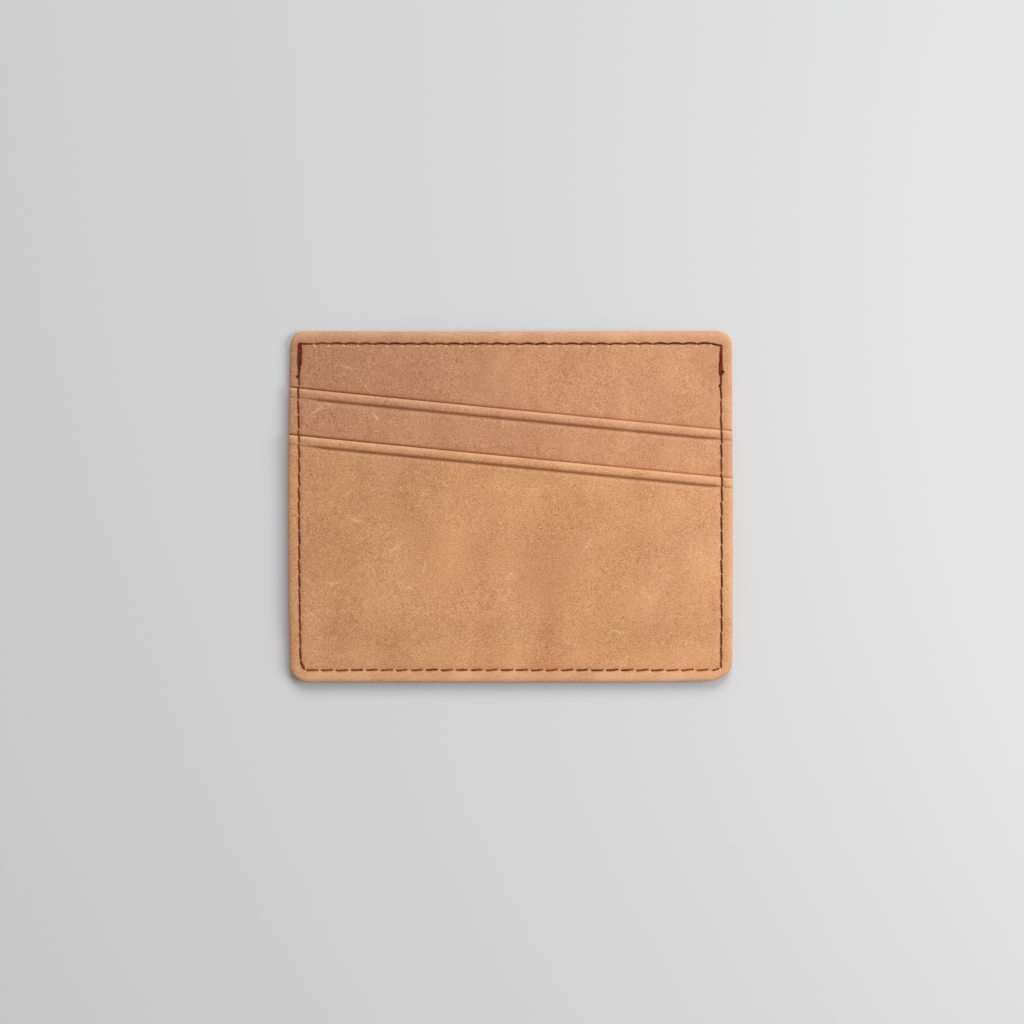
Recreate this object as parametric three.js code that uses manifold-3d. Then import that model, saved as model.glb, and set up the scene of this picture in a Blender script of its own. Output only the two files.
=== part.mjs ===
// A slim leather card holder, lying face up. Two lined leather panels are sewn together along the sides
// and the bottom, which leaves a centre pocket that opens at the top. Two card pockets with slanted,
// turned and creased mouths are sewn to the front. Millimetres, +X to the right, +Y to the top, +Z out of
// the front; the origin is the middle of the back face.
import * as THREE from 'three';
import { mergeVertices } from 'three/addons/utils/BufferGeometryUtils.js';
import Module from 'manifold-3d';

const wasm = await Module();
wasm.setup();

// Outline
const holderWidth = 101;
const holderHeight = 80;
const topCornerRadius = 3.0;
const bottomCornerRadius = 3.8;
const cornerSteps = 6;

// Thicknesses of the layers, from the back to the front
const backPanelThickness = 0.8;
const liningThickness = 0.2;
const centrePocketGap = 0.4;
const frontPanelThickness = 0.65;
const pocketThickness = 0.55;
const turnInThickness = 0.3; // the pared edge that is folded under a pocket's mouth

// Pocket mouths: the height at the middle of the holder, and the fall per millimetre to the right
const mouthFall = 0.1;
const upperMouthHeight = 22.3;
const lowerMouthHeight = 11.6;
const turnInWidth = 8;
const creaseDistance = 2.1;
const creaseHalfWidth = 0.35;
const creaseDepth = 0.15;
const noseSteps = 6;

// How the two pockets come down to the front panel at their lower ends
const upperPocketBottom = -29.5;
const upperPocketBend = [-22, -24.5];
const lowerPocketBend = [-25, -30, -34];
const bendClearance = 0.08;

// Seams
const sideSeamInset = 2.5;
const topSeamInset = 2.75;
const bottomSeamInset = 2.95;
const pocketBaseSeamHeight = -26.5;
const seamCornerRadius = 1.2;
const threadWidth = 0.46;
const threadHeight = 0.2;
const insideThreadHeight = 0.17;
const threadLift = 0.01;
const threadEndGap = 0.3;
const stepDownLength = 1.2; // the run of a thread as it comes down from a pocket's mouth
const backtackLength = 6.6;
const backtackWidth = 0.9;
const backtackHeight = 0.34;
const grooveWidth = 0.7;
const grooveDepth = 0.25;

// Levels, from the thicknesses
const halfWidth = holderWidth / 2;
const halfHeight = holderHeight / 2;
const backLiningLevel = backPanelThickness;
const centrePocketLevel = backLiningLevel + liningThickness;
const frontLiningLevel = centrePocketLevel + centrePocketGap;
const frontPanelLevel = frontLiningLevel + liningThickness;
const frontPanelTop = frontPanelLevel + frontPanelThickness;
const pocketRise = turnInThickness + pocketThickness;
const upperPocketTop = frontPanelTop + pocketRise;
const lowerPocketTop = upperPocketTop + pocketRise;
const sideSeam = halfWidth - sideSeamInset;
const topSeam = halfHeight - topSeamInset;
const bottomSeam = -halfHeight + bottomSeamInset;
const wide = 2 * holderWidth; // longer than any piece, for the tools that cut them

const leather = { color: 0xc8946b, roughness: 0.85, metalness: 0 };
const lining = { color: 0x8a6a4c, roughness: 0.95, metalness: 0 };
const thread = { color: 0x7a3f24, roughness: 0.7, metalness: 0 };

// A closed geometry as a solid that can be joined and cut
function toSolid(geometry) {
  geometry.deleteAttribute('normal');
  geometry.deleteAttribute('uv');
  const merged = mergeVertices(geometry);
  return new wasm.Manifold(new wasm.Mesh({
    numProp: 3,
    vertProperties: new Float32Array(merged.attributes.position.array),
    triVerts: new Uint32Array(merged.index.array),
  }));
}

function toMesh(name, solid, look) {
  const { vertProperties, triVerts } = solid.getMesh();
  const geometry = new THREE.BufferGeometry();
  geometry.setAttribute('position', new THREE.BufferAttribute(vertProperties, 3));
  geometry.setIndex(new THREE.BufferAttribute(triVerts, 1));
  geometry.computeVertexNormals();
  const mesh = new THREE.Mesh(geometry, new THREE.MeshStandardMaterial(look));
  mesh.name = name;
  return mesh;
}

// A shape drawn from above, from one level to another
function prism(shape, low, high) {
  const options = { depth: high - low, bevelEnabled: false, curveSegments: cornerSteps };
  const geometry = new THREE.ExtrudeGeometry(shape, options);
  geometry.translate(0, 0, low);
  return toSolid(geometry);
}

// A side view, drawn with its first axis along `across` and its second along +Z, and drawn out both ways
function drawOut(shape, across, origin) {
  const geometry = new THREE.ExtrudeGeometry(shape, { depth: wide, bevelEnabled: false });
  geometry.translate(0, 0, -wide / 2);
  const up = new THREE.Vector3(0, 0, 1);
  const along = new THREE.Vector3().crossVectors(across, up);
  geometry.applyMatrix4(new THREE.Matrix4().makeBasis(across, up, along));
  geometry.translate(origin.x, origin.y, origin.z);
  return toSolid(geometry);
}

function polygon(points) {
  return new THREE.Shape(points.map(([x, y]) => new THREE.Vector2(x, y)));
}

// A layer that is drawn out along X and follows a list of [height on the holder, level] points
function layer(points, thickness) {
  const upper = points.map(([y, z]) => [y, z + thickness]).reverse();
  return drawOut(polygon([...points, ...upper]), new THREE.Vector3(0, 1, 0), new THREE.Vector3());
}

// The outline of every full-size layer
function holderOutline() {
  const shape = new THREE.Shape();
  const top = halfHeight - topCornerRadius;
  const bottom = -halfHeight + bottomCornerRadius;
  const quarter = Math.PI / 2;
  shape.absarc(halfWidth - topCornerRadius, top, topCornerRadius, 0, quarter);
  shape.absarc(-halfWidth + topCornerRadius, top, topCornerRadius, quarter, 2 * quarter);
  shape.absarc(-halfWidth + bottomCornerRadius, bottom, bottomCornerRadius, 2 * quarter, 3 * quarter);
  shape.absarc(halfWidth - bottomCornerRadius, bottom, bottomCornerRadius, 3 * quarter, 4 * quarter);
  return shape;
}

// The height of a mouth line at a place across the holder
function mouthAt(mouthHeight, x) {
  return mouthHeight - mouthFall * x;
}

// What lies below a mouth line, moved down by `distance`
function belowMouth(mouthHeight, distance) {
  return polygon([
    [-wide, -wide],
    [wide, -wide],
    [wide, mouthAt(mouthHeight, wide) - distance],
    [-wide, mouthAt(mouthHeight, -wide) - distance],
  ]);
}

// The turned mouth of a pocket: a round nose, the crease behind it and the turn-in below
function turnedMouth(mouthHeight, top) {
  const noseRadius = pocketRise / 2;
  const shape = new THREE.Shape();
  for (let i = 0; i <= noseSteps; i += 1) {
    const angle = -Math.PI / 2 - (Math.PI * i) / noseSteps;
    const place = [noseRadius + noseRadius * Math.cos(angle), top - noseRadius + noseRadius * Math.sin(angle)];
    if (i === 0) shape.moveTo(...place);
    else shape.lineTo(...place);
  }
  shape.lineTo(creaseDistance - creaseHalfWidth, top);
  shape.lineTo(creaseDistance, top - creaseDepth);
  shape.lineTo(creaseDistance + creaseHalfWidth, top);
  shape.lineTo(turnInWidth, top);
  shape.lineTo(turnInWidth, top - pocketRise);
  const inward = new THREE.Vector3(-mouthFall, -1, 0).normalize();
  return drawOut(shape, inward, new THREE.Vector3(0, mouthHeight, 0));
}

// A front pocket: one sheet with its mouth turned in, cut to the holder's outline
function pocket(mouthHeight, top, points) {
  const sheet = layer(points, pocketThickness);
  const behindNose = prism(belowMouth(mouthHeight, turnInWidth / 2), 0, wide);
  const outline = prism(holderOutline(), 0, wide);
  return sheet.intersect(behindNose).add(turnedMouth(mouthHeight, top)).intersect(outline);
}

function upperPocket() {
  const under = upperPocketTop - pocketThickness;
  return pocket(upperMouthHeight, upperPocketTop, [
    [halfHeight, under],
    [upperPocketBend[0], under],
    [upperPocketBend[1], frontPanelTop],
    [upperPocketBottom, frontPanelTop],
  ].reverse());
}

// The underside of the lower pocket, from its bottom edge to its mouth
function lowerPocketUnderside() {
  return [
    [-halfHeight - 1, frontPanelTop],
    [lowerPocketBend[2], frontPanelTop],
    [lowerPocketBend[1], frontPanelTop + pocketThickness + bendClearance],
    [lowerPocketBend[0], lowerPocketTop - pocketThickness],
    [halfHeight, lowerPocketTop - pocketThickness],
  ];
}

function lowerPocket() {
  return pocket(lowerMouthHeight, lowerPocketTop, lowerPocketUnderside());
}

// The U of the side and bottom seam as a ribbon, seen from above
function sideSeamRibbon(width) {
  const shape = new THREE.Shape();
  const outerX = sideSeam + width / 2;
  const innerX = sideSeam - width / 2;
  const outerY = bottomSeam - width / 2;
  const innerY = bottomSeam + width / 2;
  const outerRadius = seamCornerRadius + width / 2;
  const innerRadius = seamCornerRadius - width / 2;
  const quarter = Math.PI / 2;
  shape.moveTo(-outerX, topSeam);
  shape.lineTo(-outerX, outerY + outerRadius);
  shape.absarc(-outerX + outerRadius, outerY + outerRadius, outerRadius, 2 * quarter, 3 * quarter);
  shape.absarc(outerX - outerRadius, outerY + outerRadius, outerRadius, 3 * quarter, 4 * quarter);
  shape.lineTo(outerX, topSeam);
  shape.lineTo(innerX, topSeam);
  shape.absarc(innerX - innerRadius, innerY + innerRadius, innerRadius, 0, -quarter, true);
  shape.absarc(-innerX + innerRadius, innerY + innerRadius, innerRadius, -quarter, -2 * quarter, true);
  shape.lineTo(-innerX, topSeam);
  return shape;
}

function rectangle(left, right, low, high) {
  return polygon([[left, low], [right, low], [right, high], [left, high]]);
}

// The ribbon of a straight seam between the two side seams
function straightRibbon(height, width) {
  const end = sideSeam - threadWidth / 2 - threadEndGap;
  return rectangle(-end, end, height - width / 2, height + width / 2);
}

// The levels that the front thread follows up one side: along the lower pocket, then down each mouth
function sideThreadLevels(x) {
  const lowerMouth = mouthAt(lowerMouthHeight, x);
  const upperMouth = mouthAt(upperMouthHeight, x);
  const onLowerPocket = lowerPocketUnderside()
    .slice(0, -1)
    .map(([y, z]) => [y, z + pocketThickness + threadLift]);
  return [
    ...onLowerPocket,
    [lowerMouth, lowerPocketTop + threadLift],
    [lowerMouth + stepDownLength, upperPocketTop + threadLift],
    [upperMouth, upperPocketTop + threadLift],
    [upperMouth + stepDownLength, frontPanelTop + threadLift],
    [halfHeight, frontPanelTop + threadLift],
  ];
}

// One half of the front thread, with its doubled stitches at the top
function sideNeedleHalf(side) {
  const overlap = 1;
  const [left, right] = [-side * overlap, side * wide].sort((a, b) => a - b);
  const half = prism(rectangle(left, right, -wide, wide), 0, wide);
  const run = layer(sideThreadLevels(side * sideSeam), threadHeight);
  const ribbon = prism(sideSeamRibbon(threadWidth), 0, wide);
  const x = side * sideSeam;
  const tack = rectangle(x - backtackWidth / 2, x + backtackWidth / 2, topSeam - backtackLength, topSeam);
  const low = frontPanelTop + threadLift;
  return run.intersect(ribbon).intersect(half).add(prism(tack, low, low + backtackHeight));
}

function sideNeedleThread() {
  return sideNeedleHalf(-1).add(sideNeedleHalf(1));
}

// The threads on the back lie in a groove, so that the holder rests on its leather
function backThread(ribbon) {
  return prism(ribbon, grooveDepth - threadLift - threadHeight, grooveDepth - threadLift);
}

function backPanel() {
  const topGroove = rectangle(-sideSeam, sideSeam, topSeam - grooveWidth / 2, topSeam + grooveWidth / 2);
  const grooves = prism(sideSeamRibbon(grooveWidth), -1, grooveDepth).add(prism(topGroove, -1, grooveDepth));
  return prism(holderOutline(), 0, backPanelThickness).subtract(grooves);
}

function fullLayer(level, thickness) {
  return prism(holderOutline(), level, level + thickness);
}

// A thread on top of a layer, and a thread below one
function threadAbove(ribbon, level) {
  return prism(ribbon, level + threadLift, level + threadLift + threadHeight);
}

function threadBelow(ribbon, level) {
  return prism(ribbon, level - threadLift - insideThreadHeight, level - threadLift);
}

const topRibbon = straightRibbon(topSeam, threadWidth);
const baseRibbon = straightRibbon(pocketBaseSeamHeight, threadWidth);
const pocketBaseTop = frontPanelTop + pocketThickness;

const cardHolder = new THREE.Group();
cardHolder.add(
  toMesh('back_panel', backPanel(), leather),
  toMesh('back_lining', fullLayer(backLiningLevel, liningThickness), lining),
  toMesh('front_lining', fullLayer(frontLiningLevel, liningThickness), lining),
  toMesh('front_panel', fullLayer(frontPanelLevel, frontPanelThickness), leather),
  toMesh('upper_pocket', upperPocket(), leather),
  toMesh('lower_pocket', lowerPocket(), leather),
  toMesh('side_seam_needle_thread', sideNeedleThread(), thread),
  toMesh('side_seam_bobbin_thread', backThread(sideSeamRibbon(threadWidth)), thread),
  toMesh('front_top_needle_thread', threadAbove(topRibbon, frontPanelTop), thread),
  toMesh('front_top_bobbin_thread', threadBelow(topRibbon, frontLiningLevel), thread),
  toMesh('back_top_needle_thread', backThread(topRibbon), thread),
  toMesh('back_top_bobbin_thread', threadAbove(topRibbon, centrePocketLevel), thread),
  toMesh('pocket_base_needle_thread', threadAbove(baseRibbon, pocketBaseTop), thread),
  toMesh('pocket_base_bobbin_thread', threadBelow(baseRibbon, frontLiningLevel), thread),
);

export default cardHolder;
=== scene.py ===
import math

import bpy
import numpy as np
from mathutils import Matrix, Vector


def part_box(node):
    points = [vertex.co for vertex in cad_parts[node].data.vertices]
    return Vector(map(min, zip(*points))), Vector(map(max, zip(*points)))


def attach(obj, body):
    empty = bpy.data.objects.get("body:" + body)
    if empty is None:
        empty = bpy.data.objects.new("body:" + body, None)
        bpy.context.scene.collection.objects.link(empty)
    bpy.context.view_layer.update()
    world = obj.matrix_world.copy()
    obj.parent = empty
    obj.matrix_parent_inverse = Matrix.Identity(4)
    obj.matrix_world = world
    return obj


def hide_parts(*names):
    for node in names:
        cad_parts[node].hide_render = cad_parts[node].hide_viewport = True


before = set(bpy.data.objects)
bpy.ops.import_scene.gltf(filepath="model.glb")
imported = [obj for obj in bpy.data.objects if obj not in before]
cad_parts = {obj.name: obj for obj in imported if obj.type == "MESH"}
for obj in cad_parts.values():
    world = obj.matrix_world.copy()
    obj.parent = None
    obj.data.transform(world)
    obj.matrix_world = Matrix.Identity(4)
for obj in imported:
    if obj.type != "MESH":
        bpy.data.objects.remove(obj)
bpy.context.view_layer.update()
mm = 0.001  # everything below is worked out in millimetres and made in metres


# sizes read from the frame
def nodeBox(name):
    low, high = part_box(name)
    return np.array(low) / mm, np.array(high) / mm


panelLow, panelHigh = nodeBox("front_panel")
backLow, backHigh = nodeBox("back_panel")
backLiningLow, backLiningHigh = nodeBox("back_lining")
upperLow, upperHigh = nodeBox("upper_pocket")
lowerHigh = nodeBox("lower_pocket")[1]
topThreadLow, topThreadHigh = nodeBox("front_top_needle_thread")
sideThreadLow, sideThreadHigh = nodeBox("side_seam_bobbin_thread")
baseThreadLow, baseThreadHigh = nodeBox("pocket_base_needle_thread")

halfWidth = panelHigh[0]
halfHeight = panelHigh[1]
threadWidth = topThreadHigh[1] - topThreadLow[1]
sideSeam = sideThreadHigh[0] - threadWidth / 2
bottomSeam = sideThreadLow[1] + threadWidth / 2
topSeam = (topThreadLow[1] + topThreadHigh[1]) / 2
baseSeam = (baseThreadLow[1] + baseThreadHigh[1]) / 2

holder = {
    "mouthFall": 0.098,  # how far a pocket mouth falls for each millimetre to the right
    "upperSag": 0.09,  # how much lower the mouths hang than they were cut
    "lowerSag": 0.18,
    "topCorner": 3.1,
    "leftBottomCorner": 4.1,
    "rightBottomCorner": 5.2,
    "leftBow": 0.4,  # the sides are this much further out in the middle than at their ends
    "rightBow": 0.07,
    "topDip": 0.15,  # the top edge sinks this much in the middle
    "bottomLift": 0.15,  # the bottom edge lies this much higher than it was cut, and more to the right
    "rightLift": 0.4,
    "waviness": 0.05,  # soft unevenness of the leather's surface
    "pocketMouthOpen": 0.55,  # how far the centre pocket gapes in the middle of its mouth
    "seamPull": 0.055,  # how much the stitches thin the layers
    "seamPullWidth": 0.62,
    "edgeRound": 1.1,  # the burnished edges of the visible leather
    "edgeDrop": 0.55,
    "cutRound": 0.12,  # the eased rims of a cut sheet
    "cutDrop": 0.05,
    "rimBulge": 0.12,  # a cut edge bulges by this share of its thickness, up to rimBulgeMost
    "rimBulgeMost": 0.05,
    "topSlope": 0.24,  # the border above the top seam falls gently towards its edge
    "imprint": 0.2,  # a pocket's mouth presses this deep into the leather behind it
    "imprintReach": 0.62,
    "imprintAtSides": 0.45,
    "napHeight": 0.02,  # the raised nap adds this to the front panel
    "underPocket": 0.03,  # a pocket lies this far off the leather below
    "clearance": 0.01,  # hidden faces keep this far apart
}
backThickness = backHigh[2] - backLow[2]
liningThickness = backLiningHigh[2] - backLiningLow[2]
frontThickness = panelHigh[2] - panelLow[2]
turnInThickness = 0.3  # the pared leather that is folded under a pocket's mouth
pocketThickness = upperHigh[2] - upperLow[2] - turnInThickness
cutFall = 0.1  # the slant the mouths were cut to; the top of each box is the left end of its mouth
upperMouth = upperHigh[1] - cutFall * halfWidth - holder["upperSag"]
lowerMouth = lowerHigh[1] - cutFall * halfWidth - holder["lowerSag"]
upperBottom = upperLow[1]


def smooth(t):
    t = np.clip(t, 0, 1)
    return t * t * (3 - 2 * t)


def rising(low, t):  # from low, where t is 0, to 1, where t is 1
    return low + (1 - low) * t


def bell(t):  # 1 at 0, gone at about 2
    return np.exp(-(t ** 2))


def roundedEdge(d, reach, drop):  # how far a quarter round has fallen at d from an edge
    t = np.clip(1 - d / reach, 0, 1)
    return drop * (1 - np.sqrt(np.maximum(1 - t * t, 0)))


def softNoise(x, y, size, seed):  # a sum of slow waves, from about -1 to 1
    draw = np.random.default_rng(seed)
    total = 0
    waves = 7
    for _ in range(waves):
        angle = draw.uniform(0, 2 * math.pi)
        length = size * draw.uniform(0.7, 1.6)
        phase = draw.uniform(0, 2 * math.pi)
        along = x * math.cos(angle) + y * math.sin(angle)
        total = total + np.sin(2 * math.pi * along / length + phase)
    return total / math.sqrt(waves)


def mouthLine(mouth, x):
    return mouth - holder["mouthFall"] * x


def edgeDistance(x, y):
    return np.minimum(halfWidth - np.abs(x), np.minimum(y + halfHeight, halfHeight - y))


def burnished(d):
    return roundedEdge(d, holder["edgeRound"], holder["edgeDrop"])


def cutRim(d):
    return roundedEdge(d, holder["cutRound"], holder["cutDrop"])


def cutShape(x, y):  # the small irregularities of the hand-cut outline, the same for every layer
    along, across = y / halfHeight, x / halfWidth
    bow = np.where(x < 0, holder["leftBow"], holder["rightBow"])
    inBorder = smooth((bottomSeam - y) / (bottomSeam + halfHeight))
    dip = holder["topDip"] * (1 - across * across) * smooth(along)
    lift = holder["bottomLift"] + holder["rightLift"] * np.maximum(across, 0) ** 5
    return x * (1 - bow / halfWidth * along * along), y - dip + lift * inBorder


# rows of stitches
# start, pitch and gap place them; slant and bow turn and bend each one; proud raises it, and sunk paints it
# darker as shade where it lies deep;
# pinch is how pale the leather is painted around a hole, partly pulled-pale leather and partly painted
# highlight, and ripple how much the seam eases between its holes
topSeamRow = {
    "start": -44.9, "pitch": 3.36, "gap": -0.16, "slant": 0.05, "bow": 0.3, "radius": 0.21, "proud": 0.0,
    "pinchAndHighlight": 0.8, "pinchBelow": 0.34, "uneven": 0.5, "sunkShade": 0.0, "ripple": 0.15,
}
bottomSeamRow = {
    "start": -47.15, "pitch": 3.43, "gap": 0.66, "slant": 0.12, "bow": 0.0, "radius": 0.2, "proud": 0.02,
    "pinchAndHighlight": 0.75, "pinchBelow": 0.0, "uneven": 1.0, "sunkShade": 0.0, "ripple": 0.2,
}
sideSeamRow = {
    "start": 30.9, "pitch": 3.293, "gap": 0.02, "slant": 0.085, "bow": 0.03, "radius": 0.21, "proud": 0.0,
    "pinchAndHighlight": 0.5, "pinchBelow": 0.0, "uneven": 1.0, "sunkShade": 0.34,
}


# how the layers settle on each other
def rippled(x, row):
    return 1 - row["ripple"] + row["ripple"] * np.cos(2 * math.pi * (x - row["start"]) / row["pitch"])


def seamShape(x, y):  # 1 on a seam that goes through the front, 0 away from it
    width = holder["seamPullWidth"]
    betweenSides = smooth(sideSeam + 1 - np.abs(x))
    onSide = bell((np.abs(x) - sideSeam) / width) * smooth(y - bottomSeam + 1) * smooth(topSeam + 1 - y)
    onBottom = bell((y - bottomSeam) / width) * betweenSides * rippled(x, bottomSeamRow)
    onTop = bell((y - topSeam) / width) * betweenSides * rippled(x, topSeamRow)
    return np.maximum(np.maximum(onSide, onBottom), onTop)


def awayFromSides(x, reach):
    return smooth((sideSeam - 0.5 - np.abs(x)) / reach)


gape = {  # how the centre pocket opens
    "least": 0.05,
    "sideReach": 34.0,  # it is nearly shut at the sides, and opens over this distance
    "lowRise": 12.0,  # it opens upwards too, by lowShare over the first of these heights
    "fullRise": 60.0,
    "lowShare": 0.25,
}


def pocketGape(x, y):  # the air inside the centre pocket
    height = y - bottomSeam
    opened = gape["lowShare"] * smooth(height / gape["lowRise"])
    opened = opened + (1 - gape["lowShare"]) * smooth(height / gape["fullRise"])
    return gape["least"] + holder["pocketMouthOpen"] * awayFromSides(x, gape["sideReach"]) * opened


def pulled(x, y, z):
    return z * (1 - holder["seamPull"] * seamShape(x, y))


def backPanelTop(x, y):
    return backThickness + 0 * x


def liningTop(x, y):
    return backThickness + liningThickness + 0 * x


def frontUnderside(x, y):
    return liningTop(x, y) + pocketGape(x, y) + liningThickness


def frontTop(x, y):
    return frontUnderside(x, y) + frontThickness + holder["napHeight"]


hem = {
    "creaseAt": 2.31,  # the heat crease's distance from the mouth
    "creaseDepth": 0.26,
    "creaseWidth": 0.3,
    "creaseUpperWidth": 1.2,  # the side of the crease towards the mouth is this much wider
    "leftFade": 6.0,  # the crease fades over this length at each side, to the share kept there
    "leftKept": 0.12,
    "rightFade": 2.2,
    "rightKept": 0.3,
    "nearing": 0.07,  # at the sides it comes this share closer to the mouth
    "fadeFrom": 0.2,
    "rollHeight": 0.27,
    "rollLean": 1.15,
    "rollFullness": 0.8,
    "lipHeight": 0.05,  # the leather swells again just below the crease
    "lipAt": 0.85,
    "lipWidth": 0.5,
    "noseLength": 0.5,
    "noseDrop": 0.42,
    "turnInWidth": 8.0,
    "swellFrom": 4.0,  # the turned-in edge shows as a swelling that dies out over swellReach
    "swellReach": 14.0,
    "lift": 0.1,  # the middle of a mouth stands this much off the leather below
    "liftReach": 16.0,
    "liftSideReach": 30.0,
}


def hemCrease(x):  # the crease's distance from the mouth, and how much of it is left near the sides
    inside = sideSeam - hem["fadeFrom"]
    atLeft = rising(hem["leftKept"], smooth((inside + x) / hem["leftFade"]))
    atRight = rising(hem["rightKept"], smooth((inside - x) / hem["rightFade"]))
    place = hem["creaseAt"] * rising(1 - hem["nearing"], awayFromSides(x, 4))
    return place, np.where(x < 0, atLeft, atRight)


def hemRoll(x, v):  # the height of a pocket's mouth over the leather behind it, at v below the mouth line
    crease, fade = hemCrease(x)
    inRoll = np.clip(v / crease, 0, 1) ** hem["rollLean"]
    roll = hem["rollHeight"] * rising(0.3, fade) * np.sin(math.pi * inRoll) ** hem["rollFullness"]
    upper = hem["creaseWidth"] * hem["creaseUpperWidth"]
    width = np.where(v < crease, upper, hem["creaseWidth"]) * rising(0.6, fade)
    groove = hem["creaseDepth"] * fade * bell((v - crease) / width)
    lip = hem["lipHeight"] * fade * bell((v - crease - hem["lipAt"]) / hem["lipWidth"])
    return np.where(v < crease, roll, 0) - groove + lip


def imprint(x, y, mouth):  # the hollow that a pocket's mouth leaves in the leather behind it
    above = np.maximum(y - mouthLine(mouth, x), 0)
    atSides = rising(holder["imprintAtSides"], awayFromSides(x, 2))
    return holder["imprint"] * atSides * bell(above / holder["imprintReach"])


def pocketTop(x, v, below):
    swelling = turnInThickness * (1 - smooth((v - hem["swellFrom"]) / hem["swellReach"]))
    swelling = swelling * rising(0.6, awayFromSides(x, 3))
    lift = hem["lift"] * awayFromSides(x, hem["liftSideReach"]) * (1 - smooth(v / hem["liftReach"]))
    return below + holder["underPocket"] + pocketThickness + swelling + lift + hemRoll(x, v)


def upperTop(x, y):
    return pocketTop(x, mouthLine(upperMouth, x) - y, frontTop(x, y))


stepDown = {"from": 3.0, "reach": 8.0}  # it starts this far below the upper pocket's end


def underLower(x, y):  # what the lower pocket lies on: the upper pocket, then down to the front panel
    panel = frontTop(x, y)
    onUpper = smooth((y - (upperBottom - stepDown["from"])) / stepDown["reach"])
    flatUpper = panel + holder["underPocket"] + pocketThickness
    v = np.maximum(mouthLine(upperMouth, x) - y, hem["creaseAt"] + 2)
    settled = pocketTop(x, v, panel)
    return panel + (np.maximum(settled, flatUpper) - panel) * onUpper


def lowerTop(x, y):
    return pocketTop(x, mouthLine(lowerMouth, x) - y, underLower(x, y))


def borderFall(y):
    t = np.clip((y - topSeam) / (halfHeight - topSeam), 0, 1)
    return holder["topSlope"] * t * t


def nose(v):  # how far the round front of a fold falls from its top
    return roundedEdge(v, hem["noseLength"], hem["noseDrop"])


# grids that carry a sheet
def quarterStations(reach, count):  # places that turn an edge evenly
    return [reach * (1 - math.cos(math.pi / 2 * i / count)) for i in range(count + 1)]


def stationsFrom(start, fineStep, fineReach, coarse, grow=1.3):  # close together at first, then wider
    places = list(start)
    step = fineStep
    while places[-1] < fineReach:
        places.append(places[-1] + step)
    while step * grow < coarse:
        step *= grow
        places.append(places[-1] + step)
    return np.array(places)


def spread(low, high, fromLow, fromHigh, coarse):
    first, last = low + fromLow, high - fromHigh[::-1]
    count = max(2, int(round((last[0] - first[-1]) / coarse)))
    return np.concatenate([first, np.linspace(first[-1], last[0], count + 1)[1:-1], last])


def roundCorners(x, y, corners):
    for (sideX, sideY), radius in corners.items():
        dx, dy = halfWidth - sideX * x, halfHeight - sideY * y
        inside = (dx < radius) & (dy < radius)
        near = np.minimum(dx, dy)
        ring = np.maximum(radius - near, 1e-9)
        angle = math.pi / 4 * (1 - np.clip((np.maximum(dx, dy) - near) / ring, 0, 1))
        small, large = radius - ring * np.cos(angle), radius - ring * np.sin(angle)
        newDx, newDy = np.where(dx <= dy, small, large), np.where(dx <= dy, large, small)
        x = np.where(inside, sideX * (halfWidth - newDx), x)
        y = np.where(inside, sideY * (halfHeight - newDy), y)
    return x, y


allCorners = {
    (-1, -1): holder["leftBottomCorner"], (1, -1): holder["rightBottomCorner"],
    (1, 1): holder["topCorner"], (-1, 1): holder["topCorner"],
}
bottomCorners = {key: radius for key, radius in allCorners.items() if key[1] < 0}


def addMesh(name, points, faces, materials, materialOf=None):
    mesh = bpy.data.meshes.new(name)
    mesh.from_pydata((np.asarray(points) * mm).tolist(), [], faces)
    mesh.update()
    piece = bpy.data.objects.new(name, mesh)
    bpy.context.scene.collection.objects.link(piece)
    for material in materials:
        mesh.materials.append(material)
    if materialOf is not None:
        mesh.polygons.foreach_set("material_index", np.asarray(materialOf, np.int32))
    mesh.polygons.foreach_set("use_smooth", [True] * len(mesh.polygons))
    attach(piece, "root")
    return piece


def sheetPiece(name, gridX, gridY, topZ, bottomZ, corners, materials, inset=0.0):
    # a closed sheet over a grid of places: its face, its underside and the cut edge between them
    rows, columns = gridX.shape
    x, y = roundCorners(gridX, gridY, corners)
    x = x * (1 - inset / halfWidth)
    y = y * (1 - inset / halfHeight)
    x, y = cutShape(x, y)
    upper = np.stack([x, y, topZ], -1).reshape(-1, 3)
    under = np.stack([x, y, bottomZ], -1).reshape(-1, 3)
    index = np.arange(rows * columns).reshape(rows, columns)
    a, b = index[:-1, :-1].ravel(), index[:-1, 1:].ravel()
    c, d = index[1:, 1:].ravel(), index[1:, :-1].ravel()
    top = np.stack([a, b, c, d], -1)
    bottom = np.stack([d, c, b, a], -1) + rows * columns
    loop = np.concatenate([index[0, :-1], index[:-1, -1], index[-1, :0:-1], index[:0:-1, 0]])
    middle = (upper[loop] + under[loop]) / 2
    outward = middle[:, :2] / np.maximum(np.linalg.norm(middle[:, :2], axis=1, keepdims=True), 1e-9)
    thickness = (upper[loop, 2] - under[loop, 2])[:, None]
    middle[:, :2] += outward * np.minimum(thickness * holder["rimBulge"], holder["rimBulgeMost"])
    count = len(loop)
    middleIndex = 2 * rows * columns + np.arange(count)
    following = np.roll(np.arange(count), -1)
    upperBand = np.stack([loop, middleIndex, middleIndex[following], loop[following]], -1)
    underBand = np.stack([middleIndex, loop + rows * columns,
                          loop[following] + rows * columns, middleIndex[following]], -1)
    faces = np.concatenate([top, bottom, upperBand, underBand])
    points = np.concatenate([upper, under, middle])
    # the face looks up: turn everything over where the grid runs the other way
    first = points[faces[0]]
    if np.cross(first[1] - first[0], first[2] - first[1])[2] < 0:
        faces = faces[:, ::-1]
    materialOf = np.concatenate([np.zeros(len(top) + len(bottom)), np.ones(2 * count)]).astype(int)
    if len(materials) == 1:
        materialOf[:] = 0
    return addMesh(name, points, faces.tolist(), materials, materialOf)


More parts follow.
